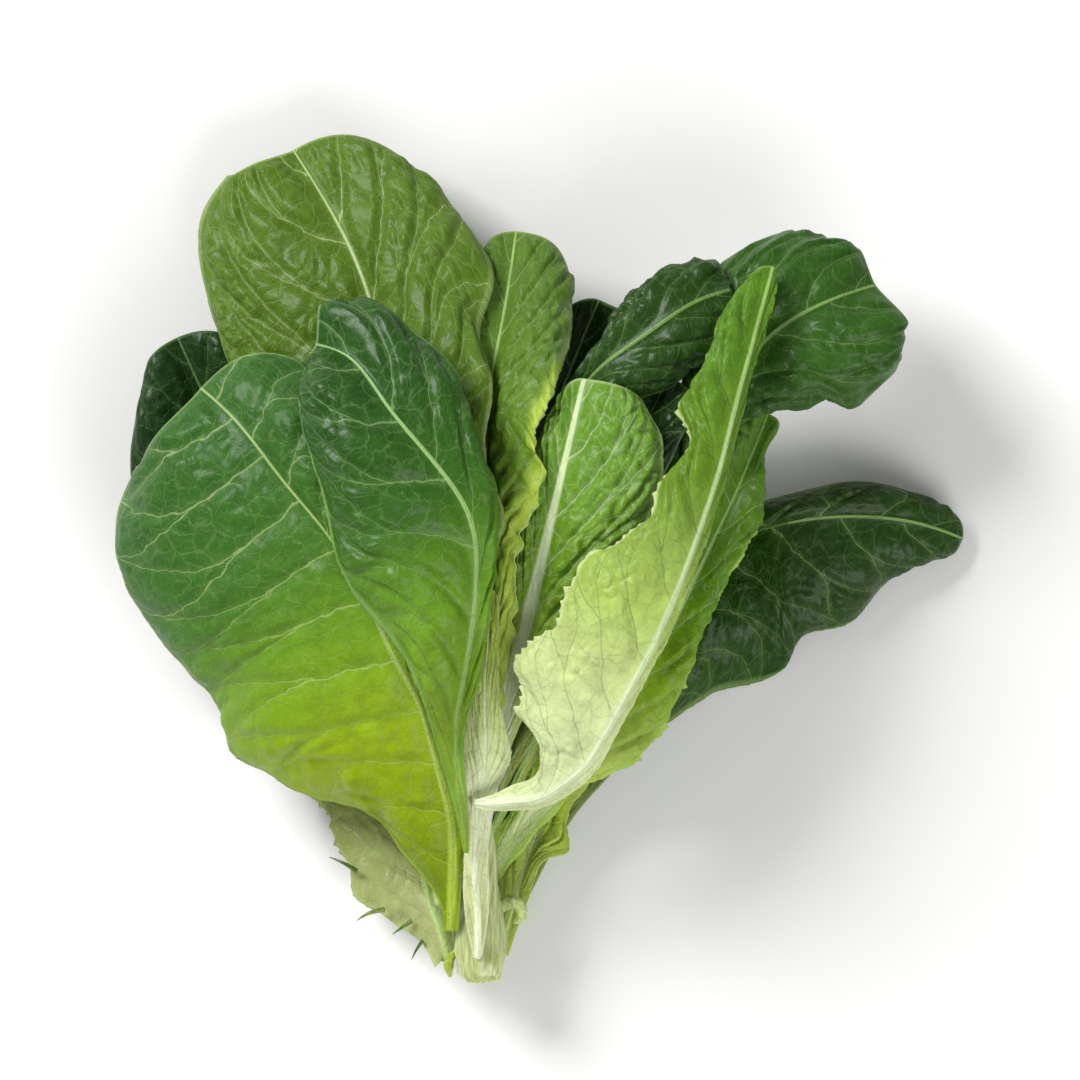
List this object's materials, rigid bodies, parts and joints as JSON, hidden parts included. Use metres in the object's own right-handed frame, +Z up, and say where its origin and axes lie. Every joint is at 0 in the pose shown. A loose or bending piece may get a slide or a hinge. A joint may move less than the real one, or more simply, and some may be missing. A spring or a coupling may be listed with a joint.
{
  "type": "romaine lettuce head",
  "caption": "Loose romaine lettuce head lying on its side, dark outer leaves fanned round a pale heart on a short cut stem.",
  "frame": {"origin": "middle of the flat spot that the head rests on, on the underside of the lowest leaf", "axes": "+Z up, +Y along the head from its cut stem end to its leaf tips, +X to the right as seen from above with the tips away"},
  "size_m": [0.3083, 0.3077, 0.1105],
  "materials": {
    "dark_leaf": "waxy dark green leaf with pale veins",
    "green_leaf": "waxy mid-green leaf, yellower at its base",
    "light_leaf": "thin light green leaf with a pale rib",
    "heart_leaf": "thin pale cream-green heart leaf",
    "stem": "moist pale stem"
  },
  "bodies": {
    "root": {"leaf_floor_middle": "dark_leaf", "leaf_far_left": "dark_leaf", "leaf_far_right": "dark_leaf", "leaf_top_right": "dark_leaf", "leaf_top_middle": "dark_leaf", "leaf_inner_right": "dark_leaf", "leaf_front_left": "dark_leaf", "leaf_upright": "green_leaf", "leaf_top_left": "green_leaf", "leaf_left": "green_leaf", "leaf_right": "light_leaf", "leaf_floor_left": "light_leaf", "leaf_floor_right": "light_leaf", "heart_leaf": "light_leaf", "heart_leaf_folded": "heart_leaf", "leaf_front_right": "heart_leaf", "stem": "stem"}
  },
  "joints": []
}
